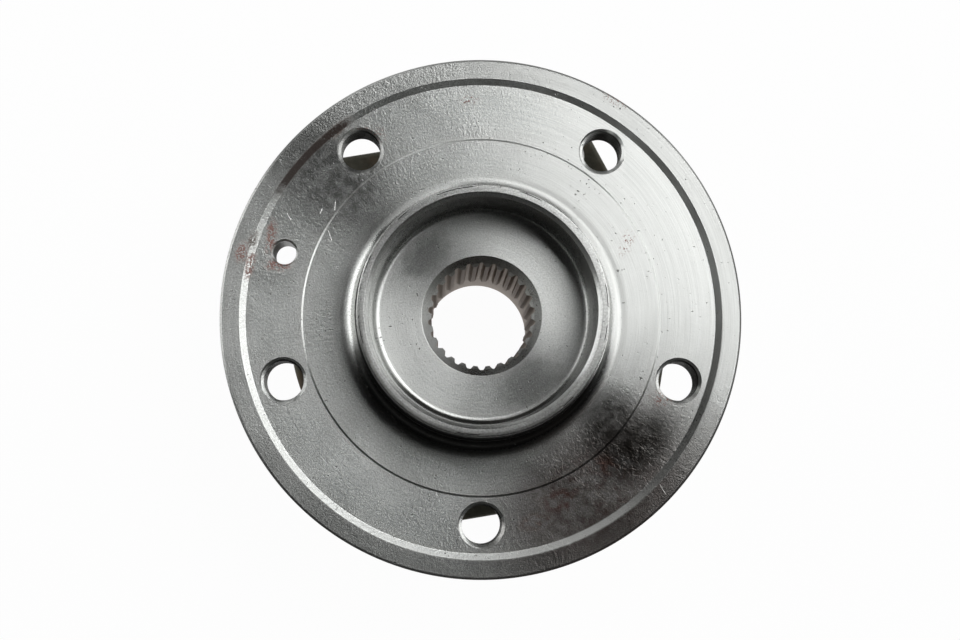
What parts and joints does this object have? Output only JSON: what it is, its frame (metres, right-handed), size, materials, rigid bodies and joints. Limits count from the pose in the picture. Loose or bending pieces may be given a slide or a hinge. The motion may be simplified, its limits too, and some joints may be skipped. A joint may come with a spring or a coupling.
{
  "type": "wheel hub bearing",
  "caption": "Wheel hub bearing unit: a flanged, splined hub turning in a bolt-on outer ring on two rows of caged balls, with seals and a wheel-speed encoder ring.",
  "frame": {"origin": "centre of the wheel mounting face, in the plane of the flange rim that the brake disc bears on", "axes": "+Z out of the car along the axle, through the spigot; the long side of the knuckle bolt rectangle runs along Y"},
  "size_m": [0.136, 0.136, 0.0823],
  "materials": {
    "hub_steel": "turned forged steel under a film of oil",
    "outer_ring_steel": "turned and partly forged steel under a film of oil",
    "race_steel": "ground bearing steel",
    "ball_steel": "polished bearing steel",
    "cage_nylon": "moulded glass-filled nylon",
    "seal_steel": "pressed sheet steel",
    "seal_rubber": "moulded nitrile rubber",
    "encoder_rubber": "magnetised ferrite rubber"
  },
  "bodies": {
    "knuckle_side": {"outer_ring": "outer_ring_steel", "outboard_seal_case": "seal_steel", "outboard_seal_lips": "seal_rubber", "inboard_seal_case": "seal_steel", "inboard_seal_lips": "seal_rubber"},
    "hub": {"hub_flange": "hub_steel", "inner_ring": "race_steel", "inboard_slinger": "seal_steel", "magnetic_encoder": "encoder_rubber"},
    "outboard_cage": {"outboard_cage": "cage_nylon"},
    "inboard_cage": {"inboard_cage": "cage_nylon"},
    "outboard_ball_01": {"outboard_ball_01": "ball_steel"},
    "outboard_ball_02": {"outboard_ball_02": "ball_steel"},
    "outboard_ball_03": {"outboard_ball_03": "ball_steel"},
    "outboard_ball_04": {"outboard_ball_04": "ball_steel"},
    "outboard_ball_05": {"outboard_ball_05": "ball_steel"},
    "outboard_ball_06": {"outboard_ball_06": "ball_steel"},
    "outboard_ball_07": {"outboard_ball_07": "ball_steel"},
    "outboard_ball_08": {"outboard_ball_08": "ball_steel"},
    "outboard_ball_09": {"outboard_ball_09": "ball_steel"},
    "outboard_ball_10": {"outboard_ball_10": "ball_steel"},
    "outboard_ball_11": {"outboard_ball_11": "ball_steel"},
    "outboard_ball_12": {"outboard_ball_12": "ball_steel"},
    "outboard_ball_13": {"outboard_ball_13": "ball_steel"},
    "inboard_ball_01": {"inboard_ball_01": "ball_steel"},
    "inboard_ball_02": {"inboard_ball_02": "ball_steel"},
    "inboard_ball_03": {"inboard_ball_03": "ball_steel"},
    "inboard_ball_04": {"inboard_ball_04": "ball_steel"},
    "inboard_ball_05": {"inboard_ball_05": "ball_steel"},
    "inboard_ball_06": {"inboard_ball_06": "ball_steel"},
    "inboard_ball_07": {"inboard_ball_07": "ball_steel"},
    "inboard_ball_08": {"inboard_ball_08": "ball_steel"},
    "inboard_ball_09": {"inboard_ball_09": "ball_steel"},
    "inboard_ball_10": {"inboard_ball_10": "ball_steel"},
    "inboard_ball_11": {"inboard_ball_11": "ball_steel"},
    "inboard_ball_12": {"inboard_ball_12": "ball_steel"},
    "inboard_ball_13": {"inboard_ball_13": "ball_steel"}
  },
  "joints": [
    {"name": "hub_spin", "type": "hinge", "parent": "knuckle_side", "child": "hub", "pos_m": [0, 0, 0], "axis": [0, 0, 1], "continuous": true},
    {"name": "outboard_cage_orbit", "type": "hinge", "parent": "knuckle_side", "child": "outboard_cage", "pos_m": [0, 0, -0.02885], "axis": [0, 0, 1], "continuous": true},
    {"name": "outboard_ball_01_spin", "type": "hinge", "parent": "outboard_cage", "child": "outboard_ball_01", "pos_m": [0.0315, 0, -0.02885], "axis": [0.6157, 0, 0.788], "continuous": true},
    {"name": "outboard_ball_02_spin", "type": "hinge", "parent": "outboard_cage", "child": "outboard_ball_02", "pos_m": [0.02789, 0.01464, -0.02885], "axis": [0.5451, 0.2861, 0.788], "continuous": true},
    {"name": "outboard_ball_03_spin", "type": "hinge", "parent": "outboard_cage", "child": "outboard_ball_03", "pos_m": [0.01789, 0.02592, -0.02885], "axis": [0.3497, 0.5067, 0.788], "continuous": true},
    {"name": "outboard_ball_04_spin", "type": "hinge", "parent": "outboard_cage", "child": "outboard_ball_04", "pos_m": [0.0038, 0.03127, -0.02885], "axis": [0.0742, 0.6112, 0.788], "continuous": true},
    {"name": "outboard_ball_05_spin", "type": "hinge", "parent": "outboard_cage", "child": "outboard_ball_05", "pos_m": [-0.01117, 0.02945, -0.02885], "axis": [-0.2183, 0.5757, 0.788], "continuous": true},
    {"name": "outboard_ball_06_spin", "type": "hinge", "parent": "outboard_cage", "child": "outboard_ball_06", "pos_m": [-0.02358, 0.02089, -0.02885], "axis": [-0.4608, 0.4083, 0.788], "continuous": true},
    {"name": "outboard_ball_07_spin", "type": "hinge", "parent": "outboard_cage", "child": "outboard_ball_07", "pos_m": [-0.03059, 0.00754, -0.02885], "axis": [-0.5978, 0.1473, 0.788], "continuous": true},
    {"name": "outboard_ball_08_spin", "type": "hinge", "parent": "outboard_cage", "child": "outboard_ball_08", "pos_m": [-0.03059, -0.00754, -0.02885], "axis": [-0.5978, -0.1473, 0.788], "continuous": true},
    {"name": "outboard_ball_09_spin", "type": "hinge", "parent": "outboard_cage", "child": "outboard_ball_09", "pos_m": [-0.02358, -0.02089, -0.02885], "axis": [-0.4608, -0.4083, 0.788], "continuous": true},
    {"name": "outboard_ball_10_spin", "type": "hinge", "parent": "outboard_cage", "child": "outboard_ball_10", "pos_m": [-0.01117, -0.02945, -0.02885], "axis": [-0.2183, -0.5757, 0.788], "continuous": true},
    {"name": "outboard_ball_11_spin", "type": "hinge", "parent": "outboard_cage", "child": "outboard_ball_11", "pos_m": [0.0038, -0.03127, -0.02885], "axis": [0.0742, -0.6112, 0.788], "continuous": true},
    {"name": "outboard_ball_12_spin", "type": "hinge", "parent": "outboard_cage", "child": "outboard_ball_12", "pos_m": [0.01789, -0.02592, -0.02885], "axis": [0.3497, -0.5067, 0.788], "continuous": true},
    {"name": "outboard_ball_13_spin", "type": "hinge", "parent": "outboard_cage", "child": "outboard_ball_13", "pos_m": [0.02789, -0.01464, -0.02885], "axis": [0.5451, -0.2861, 0.788], "continuous": true},
    {"name": "inboard_cage_orbit", "type": "hinge", "parent": "knuckle_side", "child": "inboard_cage", "pos_m": [0, 0, -0.04725], "axis": [0, 0, 1], "continuous": true},
    {"name": "inboard_ball_01_spin", "type": "hinge", "parent": "inboard_cage", "child": "inboard_ball_01", "pos_m": [0.03059, 0.00754, -0.04725], "axis": [-0.5978, -0.1473, 0.788], "continuous": true},
    {"name": "inboard_ball_02_spin", "type": "hinge", "parent": "inboard_cage", "child": "inboard_ball_02", "pos_m": [0.02358, 0.02089, -0.04725], "axis": [-0.4608, -0.4083, 0.788], "continuous": true},
    {"name": "inboard_ball_03_spin", "type": "hinge", "parent": "inboard_cage", "child": "inboard_ball_03", "pos_m": [0.01117, 0.02945, -0.04725], "axis": [-0.2183, -0.5757, 0.788], "continuous": true},
    {"name": "inboard_ball_04_spin", "type": "hinge", "parent": "inboard_cage", "child": "inboard_ball_04", "pos_m": [-0.0038, 0.03127, -0.04725], "axis": [0.0742, -0.6112, 0.788], "continuous": true},
    {"name": "inboard_ball_05_spin", "type": "hinge", "parent": "inboard_cage", "child": "inboard_ball_05", "pos_m": [-0.01789, 0.02592, -0.04725], "axis": [0.3497, -0.5067, 0.788], "continuous": true},
    {"name": "inboard_ball_06_spin", "type": "hinge", "parent": "inboard_cage", "child": "inboard_ball_06", "pos_m": [-0.02789, 0.01464, -0.04725], "axis": [0.5451, -0.2861, 0.788], "continuous": true},
    {"name": "inboard_ball_07_spin", "type": "hinge", "parent": "inboard_cage", "child": "inboard_ball_07", "pos_m": [-0.0315, 0, -0.04725], "axis": [0.6157, 0, 0.788], "continuous": true},
    {"name": "inboard_ball_08_spin", "type": "hinge", "parent": "inboard_cage", "child": "inboard_ball_08", "pos_m": [-0.02789, -0.01464, -0.04725], "axis": [0.5451, 0.2861, 0.788], "continuous": true},
    {"name": "inboard_ball_09_spin", "type": "hinge", "parent": "inboard_cage", "child": "inboard_ball_09", "pos_m": [-0.01789, -0.02592, -0.04725], "axis": [0.3497, 0.5067, 0.788], "continuous": true},
    {"name": "inboard_ball_10_spin", "type": "hinge", "parent": "inboard_cage", "child": "inboard_ball_10", "pos_m": [-0.0038, -0.03127, -0.04725], "axis": [0.0742, 0.6112, 0.788], "continuous": true},
    {"name": "inboard_ball_11_spin", "type": "hinge", "parent": "inboard_cage", "child": "inboard_ball_11", "pos_m": [0.01117, -0.02945, -0.04725], "axis": [-0.2183, 0.5757, 0.788], "continuous": true},
    {"name": "inboard_ball_12_spin", "type": "hinge", "parent": "inboard_cage", "child": "inboard_ball_12", "pos_m": [0.02358, -0.02089, -0.04725], "axis": [-0.4608, 0.4083, 0.788], "continuous": true},
    {"name": "inboard_ball_13_spin", "type": "hinge", "parent": "inboard_cage", "child": "inboard_ball_13", "pos_m": [0.03059, -0.00754, -0.04725], "axis": [-0.5978, 0.1473, 0.788], "continuous": true}
  ],
  "couplings": [
    {"joint": "outboard_cage_orbit", "follows": "hub_spin", "ratio": 0.42057},
    {"joint": "outboard_ball_01_spin", "follows": "hub_spin", "ratio": -2.4177},
    {"joint": "outboard_ball_02_spin", "follows": "hub_spin", "ratio": -2.4177},
    {"joint": "outboard_ball_03_spin", "follows": "hub_spin", "ratio": -2.4177},
    {"joint": "outboard_ball_04_spin", "follows": "hub_spin", "ratio": -2.4177},
    {"joint": "outboard_ball_05_spin", "follows": "hub_spin", "ratio": -2.4177},
    {"joint": "outboard_ball_06_spin", "follows": "hub_spin", "ratio": -2.4177},
    {"joint": "outboard_ball_07_spin", "follows": "hub_spin", "ratio": -2.4177},
    {"joint": "outboard_ball_08_spin", "follows": "hub_spin", "ratio": -2.4177},
    {"joint": "outboard_ball_09_spin", "follows": "hub_spin", "ratio": -2.4177},
    {"joint": "outboard_ball_10_spin", "follows": "hub_spin", "ratio": -2.4177},
    {"joint": "outboard_ball_11_spin", "follows": "hub_spin", "ratio": -2.4177},
    {"joint": "outboard_ball_12_spin", "follows": "hub_spin", "ratio": -2.4177},
    {"joint": "outboard_ball_13_spin", "follows": "hub_spin", "ratio": -2.4177},
    {"joint": "inboard_cage_orbit", "follows": "hub_spin", "ratio": 0.42057},
    {"joint": "inboard_ball_01_spin", "follows": "hub_spin", "ratio": -2.4177},
    {"joint": "inboard_ball_02_spin", "follows": "hub_spin", "ratio": -2.4177},
    {"joint": "inboard_ball_03_spin", "follows": "hub_spin", "ratio": -2.4177},
    {"joint": "inboard_ball_04_spin", "follows": "hub_spin", "ratio": -2.4177},
    {"joint": "inboard_ball_05_spin", "follows": "hub_spin", "ratio": -2.4177},
    {"joint": "inboard_ball_06_spin", "follows": "hub_spin", "ratio": -2.4177},
    {"joint": "inboard_ball_07_spin", "follows": "hub_spin", "ratio": -2.4177},
    {"joint": "inboard_ball_08_spin", "follows": "hub_spin", "ratio": -2.4177},
    {"joint": "inboard_ball_09_spin", "follows": "hub_spin", "ratio": -2.4177},
    {"joint": "inboard_ball_10_spin", "follows": "hub_spin", "ratio": -2.4177},
    {"joint": "inboard_ball_11_spin", "follows": "hub_spin", "ratio": -2.4177},
    {"joint": "inboard_ball_12_spin", "follows": "hub_spin", "ratio": -2.4177},
    {"joint": "inboard_ball_13_spin", "follows": "hub_spin", "ratio": -2.4177}
  ]
}
